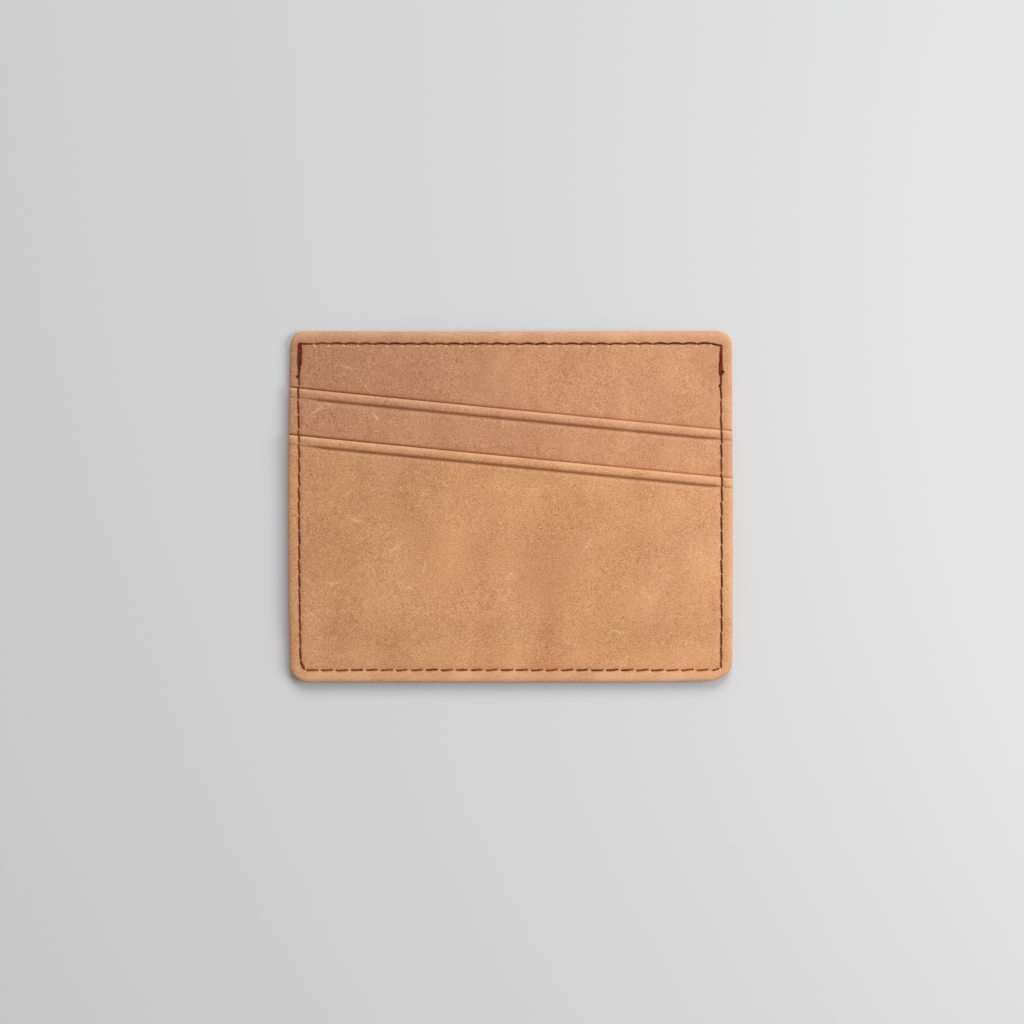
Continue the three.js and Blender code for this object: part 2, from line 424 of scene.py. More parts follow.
# shader maths
class Shade:  # a shader socket that can be used in plain sums
    def __init__(self, tree, socket=None):
        self.tree = tree
        self.socket = socket

    def node(self, kind, settings=None, inputs=None, output=0):
        made = self.tree.nodes.new(kind)
        for name, value in (settings or {}).items():
            setattr(made, name, value)
        for name, value in (inputs or {}).items():
            target = made.inputs[name]
            if isinstance(value, Shade):
                self.tree.links.new(value.socket, target)
            else:
                target.default_value = value
        return Shade(self.tree, made.outputs[output] if made.outputs else None)

    def maths(self, operation, *values):
        return self.node("ShaderNodeMath", {"operation": operation}, dict(enumerate(values)))

    def __add__(self, other):
        return self.maths("ADD", self, other)

    def __radd__(self, other):
        return self.maths("ADD", other, self)

    def __sub__(self, other):
        return self.maths("SUBTRACT", self, other)

    def __rsub__(self, other):
        return self.maths("SUBTRACT", other, self)

    def __mul__(self, other):
        return self.maths("MULTIPLY", self, other)

    def __rmul__(self, other):
        return self.maths("MULTIPLY", other, self)

    def __truediv__(self, other):
        return self.maths("DIVIDE", self, other)

    def __abs__(self):
        return self.maths("ABSOLUTE", self)

    def soft(self, reach):  # a bell: 1 where the value is 0, gone at about twice the reach
        square = (self / reach) * (self / reach)
        return self.maths("EXPONENT", -1 * square)

    def cycle(self, start, pitch):  # the distance to the nearest of a row of equal places
        turns = (self - start) / pitch + 0.5
        return (self.maths("FRACT", turns) - 0.5) * pitch

    def attribute(self, name, output="Fac"):
        return self.node("ShaderNodeAttribute", {"attribute_name": name}, None, output)

    def step(self, low, high):  # 0 below low, 1 above high, smooth between
        inputs = {"Value": self, "From Min": low, "From Max": high}
        return self.node("ShaderNodeMapRange", {"interpolation_type": "SMOOTHSTEP"}, inputs)

    def noise(self, size, detail=3.0, roughness=0.55, at=None, output=0):  # size in millimetres
        inputs = {"Vector": at or self.places(), "Scale": 1 / (size * mm), "Detail": detail,
                  "Roughness": roughness}
        return self.node("ShaderNodeTexNoise", None, inputs, output)

    def places(self):
        return self.node("ShaderNodeTexCoord", None, None, "Object")

    def stretched(self, scale, angle=0.0):
        inputs = {"Vector": self.places(), "Rotation": (0, 0, angle), "Scale": scale}
        return self.node("ShaderNodeMapping", None, inputs)

    def part(self, axis):
        return self.node("ShaderNodeSeparateXYZ", None, {"Vector": self}, axis)

    def mix(self, factor, one, other, blend="MIX"):
        return self.node("ShaderNodeMix", {"data_type": "RGBA", "blend_type": blend},
                         {0: factor, 6: one, 7: other}, 2)


def newMaterial(name):
    material = bpy.data.materials.new(name)
    material.use_nodes = True
    material.node_tree.nodes.clear()
    return material, Shade(material.node_tree)


def finishMaterial(shade, colour, roughness, normal=None, **fixed):
    inputs = {"Base Color": colour, "Roughness": roughness}
    if normal is not None:
        inputs["Normal"] = normal
    for socket, value in fixed.items():
        inputs[socket.replace("_", " ")] = value
    surface = shade.node("ShaderNodeBsdfPrincipled", None, inputs)
    shade.node("ShaderNodeOutputMaterial", None, {"Surface": surface})


def rgb(red, green, blue):  # from 0-255 screen values
    def linear(value):
        value /= 255
        return value / 12.92 if value <= 0.04045 else ((value + 0.055) / 1.055) ** 2.4
    return (linear(red), linear(green), linear(blue), 1)


nubuck = {
    "tan": rgb(225, 164, 115),
    "rosy": rgb(218, 156, 116),
    "dark": rgb(192, 132, 86),
    "pale": rgb(249, 190, 141),
    "scuffed": rgb(255, 212, 170),
    "wornAndLit": rgb(252, 198, 154),
    "shadow": rgb(190, 136, 102),
    "rust": rgb(208, 142, 100),
    "crease": rgb(140, 84, 52),
    "mouthShade": rgb(132, 78, 48),
    "holeShade": rgb(70, 34, 20),
    "blotch": 26.0,  # the sizes of its patterns, in millimetres
    "mottle": 6.0,
    "cloud": 11.4,
    "nap": 0.42,
    "darkCloud": 0.31,  # the strengths of its patterns
    "paleCloud": 0.33,
    "wornAndLitEdge": 0.5,
    "holeShadeStrength": 0.7,
    "scuffWidth": 0.22,
    "scuffStrength": 0.8,
    "mouthShadeReach": 0.78,  # painted shade: the leather above a pocket's mouth is painted dark up to here, in the crevice the mouth leaves
    "napContrast": 1.08,
    "napEven": 0.57,  # the grain value that leaves the colour as it is
    "napInDark": 0.6,  # how much of the contrast a darker face loses
    "napTone": (1.0, 0.64, 0.42),  # what a paler hair adds to the colour
    "napBump": 1.0,
    "fade": 0.12,  # painted light: the leather is painted a little paler to the right, towards the near light
}
faceScuffs = [  # x, y, direction in degrees, length, strength; millimetres
    (17.4, -8.4, 60, 4.5, 0.75), (-26.0, -9.0, 35, 3.0, 0.7), (-19.5, -14.0, 70, 3.5, 0.6),
    (-23.0, -18.5, 20, 3.0, 0.6), (24.6, -28.4, 170, 4.0, 0.6), (0.0, -15.2, 40, 0.9, 1.0),
    (-0.4, -16.4, 100, 0.6, 0.7), (-36.0, -3.0, 160, 3.0, 0.5), (-40.0, -17.5, 15, 2.5, 0.5),
    (9.6, 1.6, 110, 1.2, 0.7),
]
bandScuffs = [(-44.0, 22.2, 35, 3.0, 0.65), (-41.5, 23.6, 140, 2.5, 0.5), (-30.5, 20.6, 120, 3.0, 0.5),
              (-2.0, 18.6, 80, 4.0, 0.35), (15.0, 14.5, 20, 3.0, 0.3)]
topScuffs = [(-37.5, 31.8, 170, 4.0, 0.5), (-33.0, 27.5, 130, 4.0, 0.45), (8.0, 30.0, 20, 3.0, 0.3)]
faceStreaks = [  # x, reach, strength, tone
    (-6.2, 3.6, 0.4, "rust"), (8.6, 3.0, 0.5, "rust"), (0.6, 2.4, 0.24, "pale"),
]
holes = {"rimLength": 0.34, "rimWidth": 0.36, "coreLength": 0.16, "coreWidth": 0.17}


def stitchHoles(plan):  # how near a point is to a stitch hole: the pale rim, partly pulled-pale leather and partly painted highlight, and the dark core, painted shade in the hole
    x, y = plan.part(0), plan.part(1)
    alongX = abs(x).step(sideSeam + 0.2, sideSeam - 0.8)
    alongY = y.step(bottomSeam + 0.6, bottomSeam + 1.6) * y.step(topSeam - 5.8, topSeam - 6.8)
    rim, inHoleShade = 0, 0
    for along, across, row, reach in (
            (x, y - bottomSeam, bottomSeamRow, alongX),
            (x, y - topSeam, topSeamRow, alongX),
            (y, abs(x) - sideSeam, sideSeamRow, alongY)):
        distance = abs(along.cycle(row["start"], row["pitch"]))
        beside = (across + row["pinchBelow"]).soft(holes["rimWidth"])
        rim = distance.soft(holes["rimLength"]) * beside * reach * row["pinchAndHighlight"] + rim
        atHole = (distance - max(row["gap"], 0) / 2).soft(holes["coreLength"])
        inHoleShade = atHole * across.soft(holes["coreWidth"]) * reach + inHoleShade
    return rim, inHoleShade


def scuffed(colour, plan, mottle, nap, marks):  # a colour with short pale scratches over it
    for x, y, turn, length, strength in marks:
        angle = math.radians(turn)
        dx, dy = plan.part(0) - x, plan.part(1) - y
        along = dx * math.cos(angle) + dy * math.sin(angle) + (mottle - 0.5) * 1.5
        across = dy * math.cos(angle) - dx * math.sin(angle) + (mottle - 0.5) * 2.0
        mark = along.soft(length / 2) * across.soft(nubuck["scuffWidth"]) * (0.4 + nap.step(0.4, 0.6))
        colour = colour.mix(mark * (strength * nubuck["scuffStrength"]), colour, nubuck["scuffed"])
    return colour


def nubuckMaterial(name, rosiness, darkness, shadeToLeft, shift, coveredFrom=None, marks=(), streaks=()):
    material, shade = newMaterial(name)
    moved = shade.node("ShaderNodeMapping", None, {"Vector": shade.places(), "Location": shift})
    blotch = shade.noise(nubuck["blotch"], 2.0, 0.5, moved)
    mottle = shade.noise(nubuck["mottle"], 3.0, 0.6, moved)
    nap = shade.noise(nubuck["nap"], 2.0, 0.6, moved)
    fine = shade.noise(nubuck["nap"] * 0.5, 1.0, 0.5, moved)
    middle = shade.noise(nubuck["nap"] * 4, 2.0, 0.6, moved)
    rosy = (blotch * 0.6 + mottle * 0.4 + (rosiness - 0.5)).step(0.36, 0.64)
    colour = shade.mix(rosy, nubuck["tan"], nubuck["rosy"])
    cloud = shade.noise(nubuck["cloud"], 2.0, 0.5, shade.stretched((1.25, 0.8, 1), 0.1))
    colour = shade.mix(cloud.step(0.45, 0.7) * nubuck["darkCloud"], colour, nubuck["dark"])
    colour = shade.mix(cloud.step(0.5, 0.25) * nubuck["paleCloud"], colour, nubuck["pale"])
    plan = shade.attribute("plan", "Vector")
    drift = (mottle - 0.5) * 4
    # painted light: paler towards the right, where the near light stands
    colour = shade.mix(plan.part(0).step(-50.0, 60.0) * nubuck["fade"], colour, nubuck["pale"])
    # painted shade: darker towards the left, away from the lights; darkness makes the whole piece evenly
    # darker
    colour = shade.mix(plan.part(0).step(30.0, -60.0) * shadeToLeft + darkness, colour, nubuck["shadow"])
    lower = plan.part(1).step(8.0, -30.0) * 0.75 + 0.45
    for place, reach, strength, tone in streaks:
        streak = (plan.part(0) + drift - place).soft(reach) * lower * strength
        colour = shade.mix(streak, colour, nubuck[tone])
    grain = nap * 0.36 + fine * 0.64
    contrast = nubuck["napContrast"] * (1 - nubuck["napInDark"] * darkness)
    speckle = (grain + middle * 0.14 - nubuck["napEven"]) * contrast
    speckled = shade.node("ShaderNodeVectorMath", {"operation": "SCALE"},
                          {0: nubuck["napTone"], "Scale": speckle})
    colour = shade.node("ShaderNodeVectorMath", {"operation": "ADD"}, {0: colour, 1: speckled})
    colour = scuffed(colour, plan, mottle, nap, marks)
    wornAndLit = shade.attribute("wornAndLit")
    creaseDarkAndShade = shade.attribute("creaseDarkAndShade")
    rim, inHoleShade = stitchHoles(plan)
    # rubbed-pale edges, painted highlights on the lit rims, mouths and lips, and pale rims at the stitch
    # holes
    colour = shade.mix(wornAndLit * nubuck["wornAndLitEdge"] + rim, colour, nubuck["wornAndLit"])
    # the heat-darkened crease with painted shade in its groove, and darker along the seams
    colour = shade.mix(creaseDarkAndShade * (0.8 + 0.4 * nap), colour, nubuck["crease"])
    if coveredFrom is not None:
        # painted shade in the crevice above a pocket's mouth, stronger on the left, away from the lights
        above = plan.part(1) + plan.part(0) * holder["mouthFall"] - coveredFrom
        depth = plan.part(0).step(45.0, -60.0) * 0.5 + 0.5
        mouthShaded = above.step(nubuck["mouthShadeReach"], 0.05) * depth * (0.75 + 0.5 * nap)
        colour = shade.mix(mouthShaded, colour, nubuck["mouthShade"])
    # painted shade in the stitch holes
    colour = shade.mix(inHoleShade * nubuck["holeShadeStrength"], colour, nubuck["holeShade"])
    roughness = 0.8 + 0.14 * grain - 0.08 * wornAndLit
    normal = shade.node("ShaderNodeBump", None, {
        "Strength": nubuck["napBump"], "Distance": 0.05 * mm, "Height": grain})
    finishMaterial(shade, colour, roughness, normal, Sheen_Weight=0.1, Sheen_Roughness=0.5,
                   Specular_IOR_Level=0.22)
    return material


def edgeMaterial():
    material, shade = newMaterial("burnished cut edge")
    fibre = shade.noise(0.5, 3.0, 0.6, shade.stretched((1, 1, 3)))
    colour = shade.mix(fibre, rgb(150, 98, 64), rgb(196, 140, 98))
    normal = shade.node("ShaderNodeBump", None, {"Strength": 0.3, "Distance": 0.05 * mm, "Height": fibre})
    finishMaterial(shade, colour, 0.55 + 0.2 * fibre, normal, Specular_IOR_Level=0.35)
    return material


def liningMaterial():
    material, shade = newMaterial("brown twill lining")
    across = shade.node("ShaderNodeTexWave", {"wave_type": "BANDS", "bands_direction": "DIAGONAL"},
                        {"Vector": shade.places(), "Scale": 900.0, "Distortion": 1.5, "Detail": 1.0})
    weave = across * 0.6 + shade.noise(0.3, 2.0) * 0.4
    colour = shade.mix(weave, rgb(84, 62, 46), rgb(132, 102, 76))
    normal = shade.node("ShaderNodeBump", None, {"Strength": 0.5, "Distance": 0.06 * mm, "Height": weave})
    finishMaterial(shade, colour, 0.9, normal, Sheen_Weight=0.1)
    return material


def threadMaterial(name, light, dark, patchSize=3.5):
    material, shade = newMaterial(name)
    fibre = shade.noise(0.16, 2.0, 0.6)
    patch = shade.noise(patchSize, 2.0)
    colour = shade.mix((fibre * 0.5 + patch * 0.5).step(0.38, 0.62), light, dark)
    # painted shade where the thread dives into its holes or lies deep
    colour = shade.mix(shade.attribute("buriedShade") * 0.85, colour, nubuck["holeShade"])
    normal = shade.node("ShaderNodeBump", None, {"Strength": 0.4, "Distance": 0.03 * mm, "Height": fibre})
    finishMaterial(shade, colour, 0.65 + 0.25 * fibre, normal, Specular_IOR_Level=0.15)
    return material


threadPly = {
    "sides": 10,
    "steps": 16,
    "diveLength": 0.34,  # how far from its end a stitch starts to dive, and how deep, in radii
    "diveDepth": 1.9,
    "standsOut": 0.35,
    "gapSpread": 0.16,  # how much the stitches differ
    "slantSpread": 0.7,
    "sway": 0.05,
    "endWidth": 0.78,
    "twistLength": 1.5,
    "lobe": 0.17,
}


def holderTop(x, y):  # the face that a needle thread lies on
    underLowerMouth, underUpperMouth = mouthLine(lowerMouth, x) - y, mouthLine(upperMouth, x) - y
    onLower = lowerTop(x, y) - nose(underLowerMouth)
    onUpper = upperTop(x, y) - nose(underUpperMouth) - imprint(x, y, lowerMouth)
    onPanel = frontTop(x, y) - imprint(x, y, upperMouth) - borderFall(y)
    z = np.where(underLowerMouth > 0, onLower, np.where(underUpperMouth > 0, onUpper, onPanel))
    return pulled(x, y, z) - burnished(edgeDistance(x, y))


def stitchPoints(start, end, surface, row, side, draw):
    t = np.linspace(0, 1, threadPly["steps"] + 1)
    t = (t + 0.5 * (1 - np.cos(math.pi * t))) / 2  # closer together where the thread dives into its holes
    start, end = np.array(start, float), np.array(end, float)
    run = end - start
    length = np.linalg.norm(run)
    across = np.array([-run[1], run[0]]) / length
    uneven = row["uneven"]
    gap = row["gap"] + threadPly["gapSpread"] * uneven * draw.uniform(-1, 1)
    inset = gap / 2 / length
    along = inset + t * (1 - 2 * inset)
    turned = 1 + uneven * draw.uniform(-threadPly["slantSpread"], threadPly["slantSpread"])
    slant = row["slant"] * (t * 2 - 1) * turned + row["bow"] * (np.sin(math.pi * t) - 0.5)
    shifted = draw.uniform(-threadPly["sway"], threadPly["sway"])
    curved = draw.uniform(-threadPly["sway"], threadPly["sway"])
    sway = uneven * (shifted + curved * np.sin(math.pi * t))
    plan = start + np.outer(along, run) + np.outer(slant + sway, across)
    x, y = plan[:, 0], plan[:, 1]
    fromEnd = np.minimum(t, 1 - t) * length * (1 - 2 * inset)
    dive = 1 - smooth(fromEnd / threadPly["diveLength"])
    height = row["proud"] + row["radius"] * (threadPly["standsOut"] - dive * threadPly["diveDepth"])
    z = surface(x, y) + side * height
    x, y = cutShape(x, y)
    return np.stack([x, y, z], -1), dive


def tube(points, radius, phase):
    sides = threadPly["sides"]
    tangent = np.gradient(points, axis=0)
    tangent /= np.linalg.norm(tangent, axis=1, keepdims=True)
    across = np.cross(tangent, (0, 0, 1))
    across /= np.linalg.norm(across, axis=1, keepdims=True)
    up = np.cross(across, tangent)
    travelled = np.concatenate([[0], np.cumsum(np.linalg.norm(np.diff(points, axis=0), axis=1))])
    rings = []
    for i, point in enumerate(points):
        theta = np.arange(sides) * 2 * math.pi / sides
        turn = phase + math.pi * travelled[i] / threadPly["twistLength"] * 2
        taper = rising(threadPly["endWidth"], math.sin(math.pi * i / (len(points) - 1)))
        r = radius * taper * (1 + threadPly["lobe"] * np.cos(2 * (theta - turn)))
        rings.append(point + np.outer(r * np.cos(theta), across[i]) + np.outer(r * np.sin(theta), up[i]))
    return np.concatenate(rings)


def tubeFaces(rings, first):
    sides = threadPly["sides"]
    faces = []
    for i in range(rings - 1):
        for j in range(sides):
            k = (j + 1) % sides
            low = first + i * sides
            faces.append([low + j, low + k, low + sides + k, low + sides + j])
    faces.append([first + j for j in range(sides - 1, -1, -1)])
    faces.append([first + (rings - 1) * sides + j for j in range(sides)])
    return faces


def threadPiece(name, stitches, surface, material, nodes, side=1, seed=1):
    draw = np.random.default_rng(seed)
    points, faces, buriedShade, count = [], [], [], 0
    for start, end, row in stitches:
        line, dive = stitchPoints(start, end, surface, row, side, draw)
        ring = tube(line, row["radius"], draw.uniform(0, 3))
        faces += tubeFaces(len(line), count)
        points.append(ring)
        # painted shade: darker where the thread dives and where its row lies deep
        depth = np.maximum(smooth(dive * 1.3), row["sunkShade"] * draw.uniform(0.5, 1.5))
        buriedShade.append(np.repeat(depth, threadPly["sides"]))
        count += len(ring)
    piece = addMesh(name, np.concatenate(points), faces, [material])
    paint(piece, "buriedShade", np.concatenate(buriedShade))
    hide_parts(*nodes)
    return piece


leftSeam = {"lean": 0.33, "leanFrom": 10.0, "leanOver": 13.0, "deepFrom": 25.0, "deepShade": 0.62}


def leftLean(y):  # the left seam drifts outwards near its top
    return leftSeam["lean"] * smooth((y - leftSeam["leanFrom"]) / leftSeam["leanOver"])


def rowOfStitches(places, fixed, row, alongX=True):
    points = [(place, fixed) if alongX else (fixed, place) for place in places]
    return [(start, end, row) for start, end in zip(points[:-1], points[1:])]


# one nubuck for each piece, with its own pattern shift, tone and scuffs, and painted shade to the left that
# is stronger on the upper pieces
nubuckFace = nubuckMaterial("tan nubuck, lower face", rosiness=0.4, darkness=0.0, shadeToLeft=0.34,
                            shift=(0, 0, 0), marks=faceScuffs, streaks=faceStreaks)
nubuckBand = nubuckMaterial("tan nubuck, middle band", rosiness=0.62, darkness=0.16, shadeToLeft=0.52,
                            shift=(0.3, 0.1, 0), coveredFrom=lowerMouth, marks=bandScuffs)
nubuckTop = nubuckMaterial("tan nubuck, top band", rosiness=0.6, darkness=0.2, shadeToLeft=0.72,
                           shift=(0.7, 0.4, 0), coveredFrom=upperMouth, marks=topScuffs)
nubuckBack = nubuckMaterial("tan nubuck, back", rosiness=0.5, darkness=0.0, shadeToLeft=0.1,
                            shift=(1.1, 0.2, 0))
cutEdge = edgeMaterial()
twill = liningMaterial()
brownThread = threadMaterial("red-brown sewing thread", rgb(168, 84, 38), rgb(98, 42, 17))
# its small red patches are painted highlights on the dark strands
darkThread = threadMaterial("doubled dark thread", rgb(172, 66, 34), rgb(108, 38, 20), 0.8)
# the same thread in darker colours: painted shade for the top seam in its groove
shadedThread = threadMaterial("sunk sewing thread", rgb(140, 68, 30), rgb(82, 35, 14))


# attributes that the nubuck reads
def paint(piece, name, values):
    layer = piece.data.attributes.new(name, "FLOAT", "POINT")
    full = np.zeros(len(piece.data.vertices), np.float32)
    full[: values.size] = values.ravel()
    layer.data.foreach_set("value", full)


def paintPlan(piece, x, y):  # the place of each point before the outline was bent
    layer = piece.data.attributes.new("plan", "FLOAT_VECTOR", "POINT")
    flat = np.stack([x, y, 0 * x], -1).reshape(-1, 3)
    coords = np.empty((len(piece.data.vertices), 3), np.float32)
    piece.data.vertices.foreach_get("co", coords.ravel())
    coords /= mm
    coords[: len(flat)] = flat
    coords[len(flat): 2 * len(flat)] = flat
    layer.data.foreach_set("vector", coords.ravel())


edgeStart = stationsFrom(quarterStations(holder["edgeRound"], 6), fineStep=0.22, fineReach=4.4, coarse=0.8)
plainEdge = stationsFrom(quarterStations(holder["cutRound"], 2), fineStep=0.6, fineReach=4.4, coarse=1.6)
mouthStart = stationsFrom(quarterStations(hem["noseLength"], 7), fineStep=0.1, fineReach=3.6, coarse=0.8)


def panelGrid(columnStep, rowStep):
    columns = spread(-halfWidth, halfWidth, edgeStart, edgeStart, columnStep)
    rows = spread(-halfHeight, halfHeight, edgeStart, edgeStart, rowStep)
    return np.meshgrid(columns, rows)


def pocketGrid(mouth, bottom, columnStep, rowStep, fromBottom):
    # rows keep their distance from the mouth above and from the bottom edge below
    columns = spread(-halfWidth, halfWidth, edgeStart, edgeStart, columnStep)
    line = mouthLine(mouth, columns)
    middle = int(round((mouth - bottom - mouthStart[-1] - fromBottom[-1]) / rowStep))
    share = np.linspace(0, 1, middle + 1)[1:-1, None]
    high = line[None, :] - mouthStart[:, None]
    low = bottom + fromBottom[:, None] + 0 * columns[None, :]
    between = low[-1] + (high[-1] - low[-1]) * share
    rows = np.concatenate([low, between, high[::-1]])
    return np.broadcast_to(columns, rows.shape).copy(), rows


wearAndLight = {  # where the leather is painted pale: how strongly, how far from the edge, and over what width; the border and rim are rubbed-pale nap, the lit rim and the lip are painted highlight, and the mouth is both
    "border": 0.3,
    "bottomBorder": 0.4,  # more of it along the bottom, and less down the left side, which is painted shade away from the lights
    "leftBorder": 0.22,
    "borderAt": 1.3,
    "borderWidth": 1.4,
    "rim": 0.25,
    "rimWidth": 0.7,
    "litRim": 0.75,  # painted highlight on the top and right rims, which face the lights
    # a pocket's mouth: rubbed pale at the fold, and painted highlight where it faces the lights
    "mouth": 0.95,
    "mouthWidth": 1.3,
    # painted highlight just below the crease, where the leather swells towards the lights
    "lip": 0.25,
    "lipAt": 0.9,
    "lipWidth": 0.5,
}


def wornAndLitAt(x, y, d, v=None):
    atBottom, atLeft = smooth((-y - 34) / 3), smooth((-x - 46) / 2)
    strength = wearAndLight["border"] + wearAndLight["bottomBorder"] * atBottom - wearAndLight["leftBorder"] * atLeft
    border = smooth(1.5 - np.abs(d - wearAndLight["borderAt"]) / wearAndLight["borderWidth"]) * strength
    rim = smooth(1 - d / wearAndLight["rimWidth"]) * wearAndLight["rim"]
    # painted highlight along the top and right rims, which face the lights
    lit = np.maximum(smooth(1.2 - (halfHeight - y) / 2), smooth(1.2 - (halfWidth - x) / 1.2))
    wornAndLit = np.maximum(border, np.maximum(rim, lit * wearAndLight["litRim"]))
    if v is not None:
        # the mouth is rubbed pale and painted with highlight; the lip below the crease is painted highlight
        wornAndLit = np.maximum(wornAndLit, smooth(1 - v / wearAndLight["mouthWidth"]) * wearAndLight["mouth"])
        lip = bell((v - hem["creaseAt"] - wearAndLight["lipAt"]) / wearAndLight["lipWidth"])
        wornAndLit = np.maximum(wornAndLit, wearAndLight["lip"] * lip)
    return wornAndLit * (0.85 + 0.25 * softNoise(x, y, 9, 5))


# darker along the seams and at the pocket creases: the heat crease darkens the leather, and its groove and
# the roll above are painted shade
darkened = {"seam": 0.25, "crease": 0.66, "leftEnd": 0.3, "rightEnd": 0.85}


def creaseDarkAndShadeAt(x, y, v=None):
    dark = darkened["seam"] * seamShape(x, y) ** 4
    if v is not None:
        crease, fade = hemCrease(x)
        width = np.where(v < crease, 0.2 + 0.24 * fade, 0.16 + 0.16 * fade)  # wider towards the mouth, as painted shade on the roll's lower side
        outside = 0.4 * smooth((x - sideSeam) / 0.5)  # it weakens beyond the right seam
        atRight = darkened["rightEnd"] - outside + (1 - darkened["rightEnd"]) * fade
        strength = np.where(x < 0, rising(darkened["leftEnd"], fade), atRight)
        dark = np.maximum(dark, strength * bell((v - crease) / width) * darkened["crease"])
    return np.clip(dark, 0, 1)


backEdge = {"round": 0.6, "drop": 0.28, "groove": 0.3}
lining = {"inset": 0.12, "pressed": 0.025}  # it ends short of the leather, and is pressed this much thinner


def makeBackPanel():
    x, y = panelGrid(1.2, 1.2)
    d = edgeDistance(x, y)
    groove = backEdge["groove"] * seamShape(x, y) ** 2
    bottom = roundedEdge(d, backEdge["round"], backEdge["drop"]) + groove
    top = backPanelTop(x, y) - cutRim(d)
    piece = sheetPiece("back_panel_leather", x, y, top, bottom, allCorners,
                       [nubuckBack, cutEdge])
    paint(piece, "wornAndLit", wornAndLitAt(x, y, d))
    paintPlan(piece, x, y)
    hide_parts("back_panel")
    return piece


def frontInside(x, y):  # the front lining's free face, inside the centre pocket
    return frontUnderside(x, y) - liningThickness


def frontLiningBottom(x, y):
    return pulled(x, y, frontInside(x, y))


def makeLining(name, node, bottomOf):
    x, y = panelGrid(1.6, 1.6)
    bottom = bottomOf(x, y) + holder["clearance"]
    top = bottom + pulled(x, y, liningThickness - lining["pressed"])
    piece = sheetPiece(name, x, y, top, bottom, allCorners, [twill], lining["inset"])
    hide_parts(node)
    return piece


def exposedAbove(x, y, mouth):  # 1 where leather shows above a pocket's mouth, 0 where the pocket covers it
    return smooth((y - mouthLine(mouth, x)) / 1.2 + 0.5)


def makeFrontPanel():
    x, y = panelGrid(0.45, 0.8)
    d = edgeDistance(x, y)
    exposed = exposedAbove(x, y, upperMouth)
    top = frontTop(x, y) + holder["waviness"] * softNoise(x, y, 24, 3) * smooth(d / 6) * exposed
    top = pulled(x, y, top - imprint(x, y, upperMouth) - borderFall(y))
    top = top - burnished(d) * exposed - cutRim(d) * (1 - exposed)
    top = np.where(exposed > 0, top, top - holder["napHeight"])
    bottom = pulled(x, y, frontUnderside(x, y)) + cutRim(d)
    piece = sheetPiece("front_panel_leather", x, y, top, bottom, allCorners,
                       [nubuckTop, cutEdge])
    paint(piece, "wornAndLit", wornAndLitAt(x, y, d))
    paint(piece, "creaseDarkAndShade", creaseDarkAndShadeAt(x, y))
    paintPlan(piece, x, y)
    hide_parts("front_panel")
    return piece


upperPocket = {
    "mouth": upperMouth,
    "bottom": upperBottom,
    "top": upperTop,
    "below": frontTop,
    "coveredFrom": lowerMouth,  # below this mouth line the lower pocket covers it
    "columnStep": 0.7,
    "rowStep": 1.0,
    "fromBottom": plainEdge,
    "corners": {},
    "leather": nubuckBand,
    "seed": 8,
}
lowerPocket = {
    "mouth": lowerMouth,
    "bottom": -halfHeight,
    "top": lowerTop,
    "below": underLower,
    "coveredFrom": None,
    "columnStep": 0.45,
    "rowStep": 0.8,
    "fromBottom": edgeStart,
    "corners": bottomCorners,
    "leather": nubuckFace,
    "seed": 15,
}
paredLength = 8.0  # the hidden end is pared over this length, so that no step shows through
leastPocket = 0.04  # and nowhere thinner than this


def makePocket(name, node, pocket):
    x, y = pocketGrid(pocket["mouth"], pocket["bottom"], pocket["columnStep"], pocket["rowStep"],
                      pocket["fromBottom"])
    v = mouthLine(pocket["mouth"], x) - y
    d = halfWidth - np.abs(x)
    if pocket["corners"]:
        d = np.minimum(d, y - pocket["bottom"])
    wave = holder["waviness"] * softNoise(x, y, 22, pocket["seed"])
    flat = pocket["top"](x, y) + wave * smooth(d / 6) * smooth((v - 2.6) / 6)
    exposed, pressed = 1 + 0 * x, 0
    if pocket["coveredFrom"] is not None:
        exposed = exposedAbove(x, y, pocket["coveredFrom"])
        pressed = imprint(x, y, pocket["coveredFrom"])
    top = pulled(x, y, flat - pressed) - nose(v)
    top = top - burnished(d) * exposed - cutRim(d) * (1 - exposed)
    if pocket["coveredFrom"] is not None:
        pared = np.minimum(top, pulled(x, y, underLower(x, y)))
        top = np.where(y < pocket["bottom"] + paredLength, pared, top)
    turnedIn = turnInThickness * (1 - smooth((v - hem["turnInWidth"]) / 0.8))
    bottom = pulled(x, y, flat - hemRoll(x, v) - pocketThickness - turnedIn) + nose(v)
    bottom = np.maximum(bottom, pulled(x, y, pocket["below"](x, y)) + holder["clearance"]) + cutRim(d)
    bottom = np.minimum(bottom, top - leastPocket)
    piece = sheetPiece(name, x, y, top, bottom, pocket["corners"],
                       [pocket["leather"], cutEdge])
    paint(piece, "wornAndLit", wornAndLitAt(x, y, d, v))
    paint(piece, "creaseDarkAndShade", creaseDarkAndShadeAt(x, y, v))
    paintPlan(piece, x, y)
    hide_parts(node)
    return piece


backPiece = makeBackPanel()
backLiningPiece = makeLining("back_lining_twill", "back_lining", backPanelTop)
frontLiningPiece = makeLining("front_lining_twill", "front_lining", frontLiningBottom)
frontPiece = makeFrontPanel()
print("panels and linings made")
upperPiece = makePocket("upper_pocket_leather", "upper_pocket", upperPocket)
lowerPiece = makePocket("lower_pocket_leather", "lower_pocket", lowerPocket)
print("pockets made")

